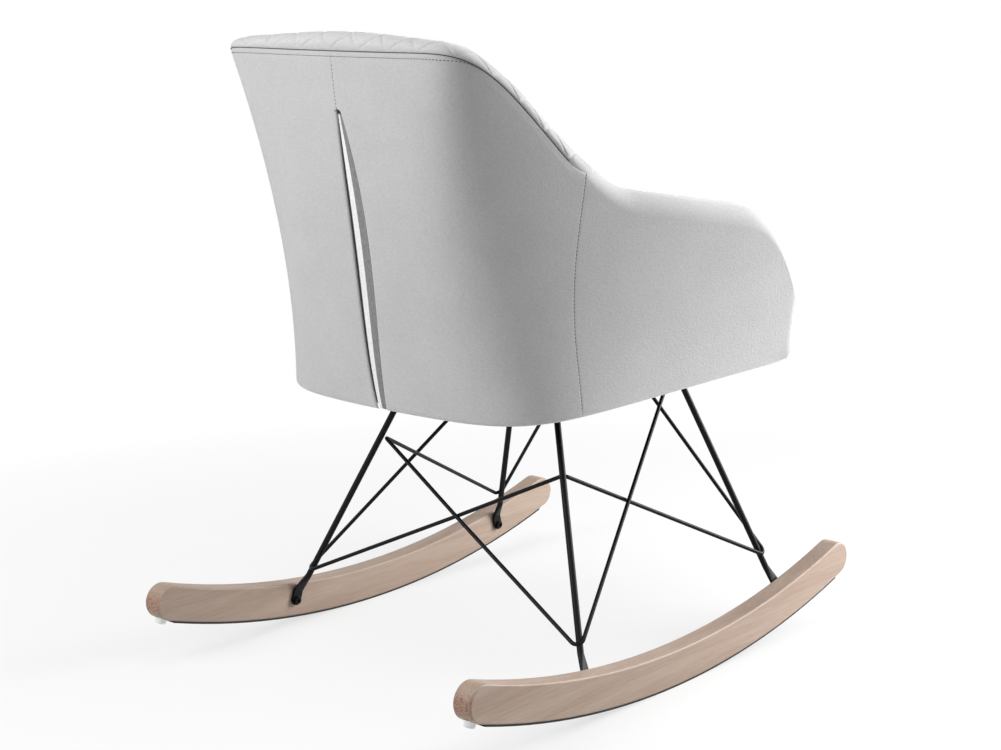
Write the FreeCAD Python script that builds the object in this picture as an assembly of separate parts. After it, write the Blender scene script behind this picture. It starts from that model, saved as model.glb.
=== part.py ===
import FreeCAD, Part
import math
import os
from FreeCAD import Vector

# Upholstered tub chair on a bent wire base with two beech rockers.
# The floor is z = 0 and the origin lies midway between the rockers.
# The sitter faces -Y, and the sitter's left hand is on the +X side.

# Beech rockers, with a rubber strip under each sole
ROCKER_LENGTH = 750.0
ROCKER_HEIGHT = 44.0
ROCKER_WIDTH = 26.0
ROCKER_INNER_X = 245.0
ROCKER_EDGE_RADIUS = 2.5
SOLE_RADIUS = 1200.0
STRIP_THICKNESS = 2.5
STRIP_WIDTH = 22.0
STRIP_END_Y = 350.0
BUMPER_DIAMETER = 16.0
BUMPER_HEIGHT = 6.0
BUMPER_TAPER = 2.0
BUMPER_SUNK = 1.5
BUMPER_Y = 361.0

# Wire base: leg rods and brace wires, given on the +X side
LEG_DIAMETER = 8.0
WIRE_DIAMETER = 5.0
REAR_LEG_LOW = Vector(232.5, 141.5, 60.0)
REAR_LEG_HIGH = Vector(117.5, 53.5, 340.0)
FRONT_LEG_LOW = Vector(239.5, -248.0, 60.0)
FRONT_LEG_HIGH = Vector(133.5, -170.0, 340.0)
PADDLE_WIDTH = 14.0
PADDLE_THICKNESS = 4.0
PADDLE_RISE = 13.0
FLATTENED_RUN = 22.0
WIRE_FRONT_LOW = Vector(232.5, -243.0, 99.0)
WIRE_REAR_HIGH = Vector(149.0, 74.5, 255.0)
WIRE_REAR_LOW = Vector(-231.5, 143.5, 73.0)
WIRE_SEAT_HIGH = Vector(41.0, -187.0, 340.0)
WIRE_SEAT_END_Z = 372.0
WIRE_END = Vector(-129.5, -164.0, 345.0)
WIRE_BEND_RADIUS = 8.0
CROSSING_BEND_RADIUS = 260.0

# Underside of the seat: a plane that rises towards the front
UNDER_Y = 230.0
UNDER_Z = 340.0
UNDER_SLOPE = 0.08
CROSSBAR_THICKNESS = 4.0
CROSSBAR_WIDTH = 40.0
FRONT_CROSSBAR_Y = -168.0
FRONT_CROSSBAR_LENGTH = 276.0
REAR_CROSSBAR_Y = 49.0
REAR_CROSSBAR_LENGTH = 258.0
SEAT_BOLT_X = 85.0
COVER_SHEET_THICKNESS = 1.0
BOARD_THICKNESS = 14.0
BOARD_FRONT_Y = -206.0
BOARD_TIP_STATION = 0.045
BOARD_INSET = 4.0

# Tub wall: half of the outer outline at three levels, as poles (x, y) from the back to the arm front
TUB_BOTTOM = [(82.0, 228.0), (229.0, 207.0), (238.0, 34.0), (284.0, -211.0)]
TUB_MIDDLE = [(86.0, 283.0), (162.0, 235.0), (262.0, 30.0), (316.0, -211.0)]
TUB_TOP = [(150.0, 305.0), (205.0, 324.0), (256.0, 25.0), (334.0, -211.0)]
TUB_TOP_Z = 775.0
SECTION_LEVEL = 0.4
WALL_THICKNESS = 48.0

# Side profile of the seam under the wall's rolled top edge
BACK_SEAM_Z = 759.0
ARM_SEAM_Z = 563.0
ARM_SEAM_SLOPE = 0.166
SLOPE_START_Y = 56.0
SLOPE_END_Y = 326.0
NOSE_TOP_RUN = 121.0
NOSE_TOP_DROP = 125.0
NOSE_TOP_POWER = 2.7
NOSE_FOOT_RUN = 42.0
NOSE_FOOT_RISE = 18.0

# Height of the rolled edge over that seam, at stations from the arm front to the middle of the back
ROLL_HEIGHTS = [(0.0, 26.0), (0.12, 26.0), (0.2, 17.0), (0.26, 10.0), (0.5, 19.0)]

# Layers of the tub wall, from the outside in
COVER = 2.0
FACING_INSET = 2.2
FACING_THICKNESS = 0.6
FACING_STATIONS = (0.469, 0.516)
FACING_OVERLAP = 15.0
SHELL_INSET = 3.0
SHELL_THICKNESS = 6.0
CLEARANCE = 0.2
SOFT_GAP = 1.0
FLATNESS = 0.0001
HEM_HEIGHT = 1.5
SIDE_SEAM_STATION = 0.14
SEAM_ROOM = 0.01
NOSE_STATION = 0.05
TIP_STATION = 0.004
SHELL_TIP_STATION = 0.014
COVER_TIP_STATION = 0.001
NOSE_STEPS = 6
WALL_STEPS = 24
FACE_STEPS = 4
ROLL_STEPS = 6

# Open slit in the back, as points (x, z) down its two edges from the end of the middle seam
SLIT_TOP = (0.0, 690.0)
SLIT_LEFT = [(1.5, 630.0), (3.5, 530.0), (8.5, 440.0), (7.0, 320.0)]
SLIT_RIGHT = [(-14.0, 645.0), (-21.5, 590.0), (-20.0, 480.0), (-5.0, 320.0)]

# Seat pad
SEAT_PAD_HEIGHT = 62.0
SEAT_FRONT_Y = -238.0
SEAT_TIP_STATION = 0.03
SEAT_GAP = 1.0

# Fasteners
M6_DIAMETER = 6.0
HOLE_PLAY = 0.4
SOCKET_DIAMETER = 4.0
SOCKET_DEPTH = 2.0
HEAD_EDGE = 1.2
BOLT_HEAD_DIAMETER = 11.0
BOLT_HEAD_HEIGHT = 3.5
WASHER_DIAMETER = 14.0
WASHER_THICKNESS = 1.2
FOOT_BOLT_REACH = 13.0
INSERT_DIAMETER = 9.0
INSERT_LENGTH = 13.0
TEE_FLANGE_DIAMETER = 19.0
TEE_FLANGE_THICKNESS = 1.6
TEE_BARREL_DIAMETER = 8.0
TEE_BARREL_LENGTH = 10.0

X_AXIS = Vector(1, 0, 0)
Z_AXIS = Vector(0, 0, 1)
ORIGIN = Vector(0, 0, 0)
FIXED_POINT_STEPS = 6


def save(name, shape):
    shape.exportStep("parts/" + name + ".step")


def mirrored(shape):
    return shape.mirror(ORIGIN, X_AXIS)


def save_pair(name, left_shape):
    save(name + "_left", left_shape)
    save(name + "_right", mirrored(left_shape))


# Rockers


def sole_circle_point(radius, angle, x):
    """A point at an angle from straight down on a circle about the rocker's centre."""
    return Vector(x, radius * math.sin(angle), SOLE_RADIUS - radius * math.cos(angle))


def sole_arc(radius, angle, x):
    start = sole_circle_point(radius, -angle, x)
    end = sole_circle_point(radius, angle, x)
    return Part.Arc(start, sole_circle_point(radius, 0.0, x), end).toShape()


def rocker_angles():
    """Angles of the end of the straight-sided band and of the rounded tip."""
    middle = SOLE_RADIUS - STRIP_THICKNESS - ROCKER_HEIGHT / 2
    band = math.asin((ROCKER_LENGTH / 2 - ROCKER_HEIGHT / 2) / middle)
    tip = band + ROCKER_HEIGHT / 2 / middle
    return band, tip


def rocker_end(sign):
    """Full round that joins the sole to the top at one end."""
    lower = SOLE_RADIUS - STRIP_THICKNESS
    upper = lower - ROCKER_HEIGHT
    band, tip = rocker_angles()
    first = sole_circle_point(lower, sign * band, ROCKER_INNER_X)
    middle = sole_circle_point((lower + upper) / 2, sign * tip, ROCKER_INNER_X)
    last = sole_circle_point(upper, sign * band, ROCKER_INNER_X)
    return Part.Arc(first, middle, last).toShape()


def rocker():
    lower = SOLE_RADIUS - STRIP_THICKNESS
    band, _ = rocker_angles()
    sole = sole_arc(lower, band, ROCKER_INNER_X)
    top = sole_arc(lower - ROCKER_HEIGHT, band, ROCKER_INNER_X)
    outline = Part.Wire(Part.__sortEdges__([sole, rocker_end(1), top, rocker_end(-1)]))
    body = Part.Face(outline).extrude(X_AXIS * ROCKER_WIDTH)
    flat_sides = [f for f in body.Faces if abs(f.normalAt(0, 0).x) > 0.99]
    rims = [edge for face in flat_sides for edge in face.Edges]
    body = body.makeFillet(ROCKER_EDGE_RADIUS, rims)
    for foot in (foot_centre(REAR_LEG_LOW, REAR_LEG_HIGH), foot_centre(FRONT_LEG_LOW, FRONT_LEG_HIGH)):
        body = body.cut(Part.makeCylinder(INSERT_DIAMETER / 2, INSERT_LENGTH + 1, foot, X_AXIS))
    return body


def grip_strip():
    angle = math.asin(STRIP_END_Y / SOLE_RADIUS)
    x = ROCKER_INNER_X + (ROCKER_WIDTH - STRIP_WIDTH) / 2
    sole = sole_arc(SOLE_RADIUS, angle, x)
    back = sole_arc(SOLE_RADIUS - STRIP_THICKNESS, angle, x)
    ends = [line(sole.valueAt(p), back.valueAt(q)) for p, q in zip(sole.ParameterRange, back.ParameterRange)]
    outline = Part.Wire(Part.__sortEdges__([sole, back] + ends))
    return Part.Face(outline).extrude(X_AXIS * STRIP_WIDTH)


def end_bumper(sign):
    """Tapered button under a rocker's end, square to the sole there."""
    angle = sign * math.asin(BUMPER_Y / (SOLE_RADIUS - STRIP_THICKNESS))
    x = ROCKER_INNER_X + ROCKER_WIDTH / 2
    seat = sole_circle_point(SOLE_RADIUS - STRIP_THICKNESS - BUMPER_SUNK, angle, x)
    out = Vector(0, math.sin(angle), -math.cos(angle))
    wide = BUMPER_DIAMETER / 2
    return Part.makeCone(wide, wide - BUMPER_TAPER, BUMPER_HEIGHT + BUMPER_SUNK, seat, out)


def end_bumpers():
    left = [end_bumper(1), end_bumper(-1)]
    wood = rocker()
    left = [bumper.cut(wood) for bumper in left]
    return Part.makeCompound(left + [mirrored(bumper) for bumper in left])


# Underside plane and the pieces on it


def under_z(y):
    return UNDER_Z + UNDER_SLOPE * (UNDER_Y - y)


def under_normal():
    return Vector(0, UNDER_SLOPE, 1).normalize()


def lift(height):
    """Rise along Z that gives a height square to the underside plane."""
    return height / under_normal().z


def on_underside(x, y, height):
    return Vector(x, y, under_z(y)) + under_normal() * height


def upright_disc(x, y, height, diameter, length):
    """Cylinder that stands square to the underside plane."""
    return Part.makeCylinder(diameter / 2, length, on_underside(x, y, height), under_normal())


def seat_bolt_places():
    return [(x, y) for y in (FRONT_CROSSBAR_Y, REAR_CROSSBAR_Y) for x in (-SEAT_BOLT_X, SEAT_BOLT_X)]


def crossbar(y, length):
    """Flat steel bar with rounded ends that the legs are welded to."""
    along_y = Vector(0, 1, -UNDER_SLOPE).normalize()
    straight = length / 2 - CROSSBAR_WIDTH / 2
    middle = on_underside(0, y, 0.0)
    corners = [middle + X_AXIS * (a * straight) + along_y * (b * CROSSBAR_WIDTH / 2)
               for a, b in ((-1, -1), (1, -1), (1, 1), (-1, 1))]
    tips = [middle + X_AXIS * (a * length / 2) for a in (1, -1)]
    outline = Part.Wire([
        Part.makeLine(corners[0], corners[1]),
        Part.Arc(corners[1], tips[0], corners[2]).toShape(),
        Part.makeLine(corners[2], corners[3]),
        Part.Arc(corners[3], tips[1], corners[0]).toShape(),
    ])
    bar = Part.Face(outline).extrude(under_normal() * CROSSBAR_THICKNESS)
    for x in (-SEAT_BOLT_X, SEAT_BOLT_X):
        bar = bar.cut(upright_disc(x, y, -1.0, M6_DIAMETER + HOLE_PLAY, CROSSBAR_THICKNESS + 2))
    return bar


def seat_bolt(x, y):
    head_height = -WASHER_THICKNESS - BOLT_HEAD_HEIGHT
    head = upright_disc(x, y, head_height, BOLT_HEAD_DIAMETER, BOLT_HEAD_HEIGHT)
    head = head.makeChamfer(HEAD_EDGE, [head.Edges[2]])
    reach = board_top() - 2.0 - head_height
    socket = upright_disc(x, y, head_height, SOCKET_DIAMETER, SOCKET_DEPTH)
    return head.fuse(upright_disc(x, y, head_height, M6_DIAMETER, reach)).cut(socket).removeSplitter()


def seat_washer(x, y):
    disc = upright_disc(x, y, -WASHER_THICKNESS, WASHER_DIAMETER, WASHER_THICKNESS)
    return disc.cut(upright_disc(x, y, -2.0, M6_DIAMETER + HOLE_PLAY, 4.0))


def tee_nut(x, y):
    flange = upright_disc(x, y, board_top() - TEE_FLANGE_THICKNESS, TEE_FLANGE_DIAMETER, TEE_FLANGE_THICKNESS)
    low = board_top() - TEE_FLANGE_THICKNESS - TEE_BARREL_LENGTH
    barrel = upright_disc(x, y, low, TEE_BARREL_DIAMETER, TEE_BARREL_LENGTH + 0.5)
    bore = upright_disc(x, y, low - 1, M6_DIAMETER, BOARD_THICKNESS + 4)
    return flange.fuse(barrel).cut(bore).removeSplitter()


def tee_nut_room(x, y):
    """Through hole and counterbore that a tee nut takes in the seat board."""
    hole = upright_disc(x, y, board_bottom() - 1, TEE_BARREL_DIAMETER, BOARD_THICKNESS + 2)
    recess_height = board_top() - TEE_FLANGE_THICKNESS
    return hole.fuse(upright_disc(x, y, recess_height, TEE_FLANGE_DIAMETER, TEE_FLANGE_THICKNESS + 1))


def at_seat_bolts(make):
    return Part.makeCompound([make(x, y) for x, y in seat_bolt_places()])


def board_bottom():
    return CROSSBAR_THICKNESS + COVER_SHEET_THICKNESS


def board_top():
    return board_bottom() + BOARD_THICKNESS


# Wire base


def along(low, high, z):
    """Point at height z on the line through two points."""
    return low + (high - low) * ((z - low.z) / (high.z - low.z))


def leg_top(low, high):
    """Where a leg's line meets the underside plane."""
    point = high
    for _ in range(FIXED_POINT_STEPS):
        point = along(low, high, under_z(point.y))
    return point


def foot_centre(low, high):
    """Middle of the bolt on the rocker's inner face, half way up the rocker."""
    middle_radius = SOLE_RADIUS - STRIP_THICKNESS - ROCKER_HEIGHT / 2
    z = low.z
    for _ in range(FIXED_POINT_STEPS):
        y = along(low, high, z).y
        z = SOLE_RADIUS - math.sqrt(middle_radius ** 2 - y ** 2)
    return Vector(ROCKER_INNER_X, y, z)


def ring_of_arcs(centre, across, up, radius):
    """Circle in four arcs that start at its diagonals."""
    def rim(degrees):
        turn = math.radians(degrees)
        return centre + across * (radius * math.cos(turn)) + up * (radius * math.sin(turn))
    return Part.Wire([Part.Arc(rim(a), rim(a + 45), rim(a + 90)).toShape() for a in (45, 135, 225, 315)])


def rectangle(centre, across, up, width, height):
    corners = [centre + across * (a * width / 2) + up * (b * height / 2)
               for a, b in ((1, 1), (-1, 1), (-1, -1), (1, -1))]
    return Part.makePolygon(corners + corners[:1])


def leg(low, high):
    """Leg rod whose lower end is pressed flat and drilled for a bolt."""
    top = leg_top(low, high)
    foot = foot_centre(low, high)
    axis = (high - low).normalize()
    rise = Vector(0, axis.y, axis.z).normalize()
    across = X_AXIS.cross(rise).normalize()
    plate_middle = foot - X_AXIS * (PADDLE_THICKNESS / 2)
    shoulder = plate_middle + rise * PADDLE_RISE
    knee = along(low, high, shoulder.z + FLATTENED_RUN)
    rod = Part.makeCylinder(LEG_DIAMETER / 2, (top - knee).Length + LEG_DIAMETER, knee, axis)
    side = axis.cross(across).normalize()
    round_end = ring_of_arcs(knee, across, side, LEG_DIAMETER / 2)
    flat_end = rectangle(shoulder, across, X_AXIS * -1, PADDLE_WIDTH, PADDLE_THICKNESS)
    neck = Part.makeLoft([round_end, flat_end], True, True)
    return rod.cut(above_underside()).fuse([neck, paddle(foot, rise, across)]).removeSplitter()


def paddle(foot, rise, across):
    """Flat foot plate with a round lower end."""
    half = across * (PADDLE_WIDTH / 2)
    top = foot + rise * PADDLE_RISE
    outline = Part.Wire([
        Part.makeLine(top + half, foot + half),
        Part.Arc(foot + half, foot - rise * (PADDLE_WIDTH / 2), foot - half).toShape(),
        Part.makeLine(foot - half, top - half),
        Part.makeLine(top - half, top + half),
    ])
    plate = Part.Face(outline).extrude(X_AXIS * -PADDLE_THICKNESS)
    return plate.cut(Part.makeCylinder((M6_DIAMETER + HOLE_PLAY) / 2, 3 * PADDLE_THICKNESS,
                                       foot - X_AXIS * (2 * PADDLE_THICKNESS), X_AXIS))


def above_underside():
    """Block that fills the space above the underside plane."""
    size = 800.0
    block = Part.makeBox(size, size, size, Vector(-size / 2, -size / 2, 0))
    block.rotate(ORIGIN, X_AXIS, -math.degrees(math.atan(UNDER_SLOPE)))
    block.translate(on_underside(0, 0, 0))
    return block


def rounded_path(points, radii):
    """Straight runs joined by tangent arcs, one radius for each inner point."""
    edges = []
    start = points[0]
    for before, corner, after, radius in zip(points, points[1:], points[2:], radii):
        back = (before - corner).normalize()
        ahead = (after - corner).normalize()
        half_turn = (math.pi - back.getAngle(ahead)) / 2
        reach = radius * math.tan(half_turn)
        bisector = (back + ahead).normalize()
        depth = radius / math.cos(half_turn) - radius
        first = corner + back * reach
        last = corner + ahead * reach
        edges.append(Part.makeLine(start, first))
        edges.append(Part.Arc(first, corner + bisector * depth, last).toShape())
        start = last
    edges.append(Part.makeLine(start, points[-1]))
    return Part.Wire(edges)


def brace_wire(side):
    """One continuous wire: seat, front leg, rear leg, far rear leg, far front leg."""
    seat_end = along(WIRE_FRONT_LOW, WIRE_SEAT_HIGH, WIRE_SEAT_END_Z)
    crossing = along_x(WIRE_REAR_HIGH, WIRE_REAR_LOW, 0.0)
    rear_slope = WIRE_REAR_LOW - Vector(-WIRE_REAR_HIGH.x, WIRE_REAR_HIGH.y, WIRE_REAR_HIGH.z)
    rear_normal = Vector(0, -rear_slope.z, rear_slope.y).normalize()
    crossing = crossing + rear_normal * (side * (WIRE_DIAMETER + 0.1) / 2)
    points = [seat_end, WIRE_FRONT_LOW, WIRE_REAR_HIGH, crossing, WIRE_REAR_LOW, WIRE_END]
    path = rounded_path(points, [WIRE_BEND_RADIUS] * 2 + [CROSSING_BEND_RADIUS] + [WIRE_BEND_RADIUS])
    direction = (points[1] - points[0]).normalize()
    profile = Part.Wire(Part.Circle(seat_end, direction, WIRE_DIAMETER / 2).toShape())
    wire = path.makePipeShell([profile], True, True)
    legs = [leg(REAR_LEG_LOW, REAR_LEG_HIGH), leg(FRONT_LEG_LOW, FRONT_LEG_HIGH)]
    legs = legs + [mirrored(shape) for shape in legs]
    return wire.cut(legs + [above_underside()])


def along_x(first, second, x):
    return first + (second - first) * ((x - first.x) / (second.x - first.x))


def foot_bolt(low, high):
    seat = foot_centre(low, high) - X_AXIS * PADDLE_THICKNESS
    head = Part.makeCylinder(BOLT_HEAD_DIAMETER / 2, BOLT_HEAD_HEIGHT, seat, X_AXIS * -1)
    head = head.makeChamfer(HEAD_EDGE, [head.Edges[0]])
    shank = Part.makeCylinder(M6_DIAMETER / 2, FOOT_BOLT_REACH + PADDLE_THICKNESS, seat, X_AXIS)
    socket = Part.makeCylinder(SOCKET_DIAMETER / 2, SOCKET_DEPTH, seat - X_AXIS * BOLT_HEAD_HEIGHT, X_AXIS)
    return head.fuse(shank).cut(socket).removeSplitter()


def insert_nut(low, high):
    seat = foot_centre(low, high)
    sleeve = Part.makeCylinder(INSERT_DIAMETER / 2, INSERT_LENGTH, seat, X_AXIS)
    return sleeve.cut(Part.makeCylinder(M6_DIAMETER / 2, INSERT_LENGTH + 2, seat - X_AXIS, X_AXIS))


def at_feet(make):
    left = [make(REAR_LEG_LOW, REAR_LEG_HIGH), make(FRONT_LEG_LOW, FRONT_LEG_HIGH)]
    return Part.makeCompound(left + [mirrored(shape) for shape in left])


# Tub wall


def tub_surface():
    """Outer face of the tub, from the arm front at -X round the back to the arm front at +X."""
    rows = []
    for outline, level in ((TUB_BOTTOM, 0.0), (TUB_MIDDLE, 0.5), (TUB_TOP, 1.0)):
        half = []
        for (x, y), (_, low_y) in zip(outline, TUB_BOTTOM):
            low = under_z(low_y)
            half.append(Vector(x, y, low + level * (TUB_TOP_Z - low)))
        rows.append([Vector(-p.x, p.y, p.z) for p in reversed(half)] + half)
    poles = [list(column) for column in zip(*rows)]
    surface = Part.BSplineSurface()
    surface.buildFromPolesMultsKnots(poles, [4, 1, 1, 1, 1, 4], [3, 3], [0, 0.2, 0.4, 0.6, 0.8, 1], [0, 1],
                                     False, False, 3, 2)
    return surface


TUB = tub_surface()


def tub_at(station, z):
    low = TUB.value(station, 0).z
    return TUB.value(station, (z - low) / (TUB_TOP_Z - low))


class Section:
    """Upright plane across the wall at one station, with the wall's heights there."""

    def __init__(self, station):
        self.station = station
        tangent = TUB.getDN(station, SECTION_LEVEL, 1, 0)
        self.along = Vector(tangent.x, tangent.y, 0).normalize()
        self.inward = Vector(self.along.y, -self.along.x, 0)
        self.base = TUB.value(station, SECTION_LEVEL)
        tip = TUB.value(0 if station < 0.5 else 1, SECTION_LEVEL)
        self.from_tip = abs((self.base - tip).dot(self.along))
        middle = WALL_THICKNESS / 2
        self.half = quarter_round(self.from_tip, middle, middle)
        self.foot_rise = NOSE_FOOT_RISE - quarter_round(self.from_tip, NOSE_FOOT_RUN, NOSE_FOOT_RISE)
        before_tip = max(0.0, 1 - self.from_tip / NOSE_TOP_RUN)
        self.roll_z = self.seam_height() - NOSE_TOP_DROP * before_tip ** NOSE_TOP_POWER
        self.roll_height = roll_height(min(station, 1 - station))

    def outer(self, z, inset):
        """Point at height z where this plane meets the tub's face, moved inward."""
        station = self.station
        for _ in range(FIXED_POINT_STEPS):
            gap = (tub_at(station, z) - self.base).dot(self.along)
            speed = TUB.getDN(station, SECTION_LEVEL, 1, 0).dot(self.along)
            station = min(1.0, max(0.0, station - gap / speed))
        point = tub_at(station, z)
        inside = (point - self.base).dot(self.inward)
        flat = self.base + self.inward * (inside + inset)
        return Vector(flat.x, flat.y, z)

    def foot_z(self, inset, height):
        """Height of the wall's foot when it stands this far off the underside plane."""
        z = self.base.z
        for _ in range(FIXED_POINT_STEPS):
            z = under_z(self.outer(z, inset).y) + lift(height)
        return z + self.foot_rise

    def seam_height(self):
        z = BACK_SEAM_Z
        for _ in range(FIXED_POINT_STEPS):
            z = side_profile(self.outer(min(z, TUB_TOP_Z), 0.0).y)
        return z

    def face_inset(self, depth, inner):
        """Inset of the wall's outer or inner face when all layers down to depth are taken off."""
        reach = self.half - depth
        return WALL_THICKNESS / 2 + (reach if inner else -reach)

    def face_points(self, depth, inner, foot_height, top_gap):
        """Points up one face of the wall, from its foot to just under the roll."""
        inset = self.face_inset(depth, inner)
        low = self.foot_z(inset, foot_height)
        rise = self.roll_z - top_gap - low
        return [self.outer(low + rise * step / FACE_STEPS, inset) for step in range(FACE_STEPS + 1)]

    def roll_points(self, depth):
        """Rounded top of the wall, from its outer face over to its inner face."""
        centre = self.outer(self.roll_z, WALL_THICKNESS / 2)
        points = []
        for step in range(ROLL_STEPS + 1):
            turn = math.pi * step / ROLL_STEPS
            across = self.inward * (-(self.half - depth) * math.cos(turn))
            points.append(centre + across + Z_AXIS * ((self.roll_height - depth) * math.sin(turn)))
        return points

    def lining_points(self, depth, foot_height):
        """Over the roll from the outer face and down the inner face."""
        inner = self.face_points(depth, True, foot_height, 0.0)
        return self.roll_points(depth) + inner[-2::-1]

    def wall_points(self, depth, foot_height):
        """Up the outer face, over the roll and down the inner face."""
        return self.face_points(depth, False, foot_height, 0.0)[:-1] + self.lining_points(depth, foot_height)


def quarter_round(distance, run, rise):
    """Height of a quarter ellipse at a distance from its foot, and rise beyond the run."""
    if distance >= run:
        return rise
    return rise * math.sqrt(1 - (1 - distance / run) ** 2)


def eased(part):
    """Share from 0 to 1 that starts and ends level."""
    part = min(1.0, max(0.0, part))
    return part * part * (3 - 2 * part)


def side_profile(y):
    """Height of the seam under the roll where the wall's outer face lies at y."""
    arm = ARM_SEAM_Z + ARM_SEAM_SLOPE * y
    return arm + (BACK_SEAM_Z - arm) * eased((y - SLOPE_START_Y) / (SLOPE_END_Y - SLOPE_START_Y))


def roll_height(station):
    """Height of the rolled edge over its seam, full on the arms and slim at the corners of the back."""
    height = ROLL_HEIGHTS[0][1]
    for (first, low), (last, high) in zip(ROLL_HEIGHTS, ROLL_HEIGHTS[1:]):
        if station >= first:
            height = low + (high - low) * eased((station - first) / (last - first))
    return height


def spline(points):
    curve = Part.BSplineCurve()
    curve.interpolate(points)
    return curve.toShape()


def line(first, last):
    return Part.makeLine(first, last)


def start_of(edge):
    return edge.valueAt(edge.FirstParameter)


def end_of(edge):
    return edge.valueAt(edge.LastParameter)


def stations(first, last, steps):
    return [first + (last - first) * step / steps for step in range(steps + 1)]


def nose_stations(tip):
    """Stations that crowd towards the rounded arm front."""
    return [tip + (NOSE_STATION - tip) * (step / NOSE_STEPS) ** 2 for step in range(NOSE_STEPS)]


def wall_stations(tip):
    nose = nose_stations(tip)
    middle = stations(NOSE_STATION, 1 - NOSE_STATION, WALL_STEPS)
    return nose + middle + [1 - station for station in reversed(nose)]


def back_stations():
    """Stations of the wall from one side seam round the back to the other."""
    seams = (SIDE_SEAM_STATION, 1 - SIDE_SEAM_STATION)
    between = [station for station in wall_stations(TIP_STATION)
               if seams[0] + SEAM_ROOM < station < seams[1] - SEAM_ROOM]
    return [seams[0]] + between + [seams[1]]


def shared_parameters(lines):
    """Mean share of its length that each line of points has covered at each point."""
    totals = [0.0] * len(lines[0])
    for points in lines:
        reach = [0.0]
        for first, last in zip(points, points[1:]):
            reach.append(reach[-1] + (last - first).Length)
        totals = [total + here / reach[-1] / len(lines) for total, here in zip(totals, reach)]
    return totals


def curves_through(lines):
    """One curve through each line of points, all with the same knots."""
    parameters = shared_parameters(lines)
    curves = []
    for points in lines:
        curve = Part.BSplineCurve()
        curve.interpolate(Points=points, Parameters=parameters)
        curves.append(curve)
    return curves


def surface_through(grid):
    """Skin through the rows of points, first along each row and then across the rows."""
    rows = curves_through(grid)
    columns = curves_through([list(poles) for poles in zip(*[row.getPoles() for row in rows])])
    poles = [list(net_row) for net_row in zip(*[column.getPoles() for column in columns])]
    across = columns[0]
    along_row = rows[0]
    surface = Part.BSplineSurface()
    surface.buildFromPolesMultsKnots(poles, across.getMultiplicities(), along_row.getMultiplicities(),
                                     across.getKnots(), along_row.getKnots(), False, False, 3, 3)
    return surface


def borders(surface):
    """Curves at the first and last station, then along the first and last row."""
    first, last, start, end = surface.bounds()
    return [surface.uIso(first), surface.uIso(last), surface.vIso(start), surface.vIso(end)]


def ruled(first_curve, second_curve):
    return first_curve.makeRuledSurface(second_curve).toShape()


def solid_of(faces):
    shell = Part.makeShell(faces)
    shell.sewShape()
    return Part.makeSolid(shell)


def slab(front_grid, back_grid):
    """Solid between two faces that run side by side."""
    front = surface_through(front_grid)
    back = surface_through(back_grid)
    sides = [ruled(a, b) for a, b in zip(borders(front), borders(back))]
    return solid_of([front.toShape(), back.toShape()] + sides)


def bead(grid):
    """Solid under one arched face, with a flat foot and flat ends."""
    arch = surface_through(grid)
    first, last, start, end = borders(arch)
    return solid_of([arch.toShape(), ruled(start, end), flat_end(first.toShape()), flat_end(last.toShape())])


def flat_end(arch_edge):
    """Flat face between an arched edge and the line across its foot."""
    outline = Part.Wire([arch_edge, line(end_of(arch_edge), start_of(arch_edge))])
    outline.fixTolerance(FLATNESS)
    return Part.Face(outline)


def wall_layer(station_list, depths, foot_height, top_gap):
    """Upright layer of the wall between two depths below its outer face."""
    sections = [Section(station) for station in station_list]
    grids = [[section.face_points(depth, False, foot_height, top_gap) for section in sections]
             for depth in depths]
    return slab(*grids)


def moulded_shell():
    """Stiff tub that the padding is glued to, standing on the seat board."""
    depths = (SHELL_INSET, SHELL_INSET + SHELL_THICKNESS)
    return wall_layer(wall_stations(SHELL_TIP_STATION), depths, board_top() + CLEARANCE, SOFT_GAP)


def wall_padding():
    """Foam on the inner side of the shell, round the back and both arms."""
    outside = SHELL_INSET + SHELL_THICKNESS + SOFT_GAP
    foot_height = board_top() + SOFT_GAP
    sections = [Section(station) for station in wall_stations(TIP_STATION)]
    outer = [section.face_points(outside, False, foot_height, SOFT_GAP) for section in sections]
    inner = [section.face_points(COVER + SOFT_GAP, True, foot_height, SOFT_GAP) for section in sections]
    return slab(outer, inner)


def rim_padding():
    """Foam bead along the top of the back and arms."""
    return bead([Section(station).roll_points(COVER + SOFT_GAP) for station in wall_stations(TIP_STATION)])


def wall_bead(station_list, depth, foot_height):
    return bead([Section(station).wall_points(depth, foot_height) for station in station_list])


def arm_cover():
    """Velvet sleeve over one arm, from the side seam to the rounded front."""
    seam = 1 - SIDE_SEAM_STATION
    arm = [station for station in wall_stations(COVER_TIP_STATION) if station > seam + SEAM_ROOM]
    inside = [station for station in wall_stations(TIP_STATION) if station > seam + SEAM_ROOM]
    sleeve = wall_bead([seam] + arm, 0.0, HEM_HEIGHT)
    filling = wall_bead([seam - 0.03, seam] + inside, COVER, -20.0)
    return sleeve.cut(filling).cut(board_block())


def board_block():
    """Seat board without its holes, deeper on the underside."""
    return board_prism(-20.0, board_top() + CLEARANCE)


def back_panel():
    """Outer velvet panel of one half of the back, before the slit is cut."""
    span = stations(0.5, 1 - SIDE_SEAM_STATION, 12)
    return wall_layer(span, (0.0, COVER), HEM_HEIGHT, CLEARANCE)


def slit_tool():
    """Slender wedge through the back, bowed to one side."""
    edges = []
    for side in (SLIT_LEFT, SLIT_RIGHT):
        edges.append(spline([Vector(x, 0, z) for x, z in [SLIT_TOP] + side]))
    edges.append(line(end_of(edges[0]), end_of(edges[1])))
    outline = Part.Wire(Part.__sortEdges__(edges))
    return Part.Face(outline).extrude(Vector(0, 400, 0))


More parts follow.
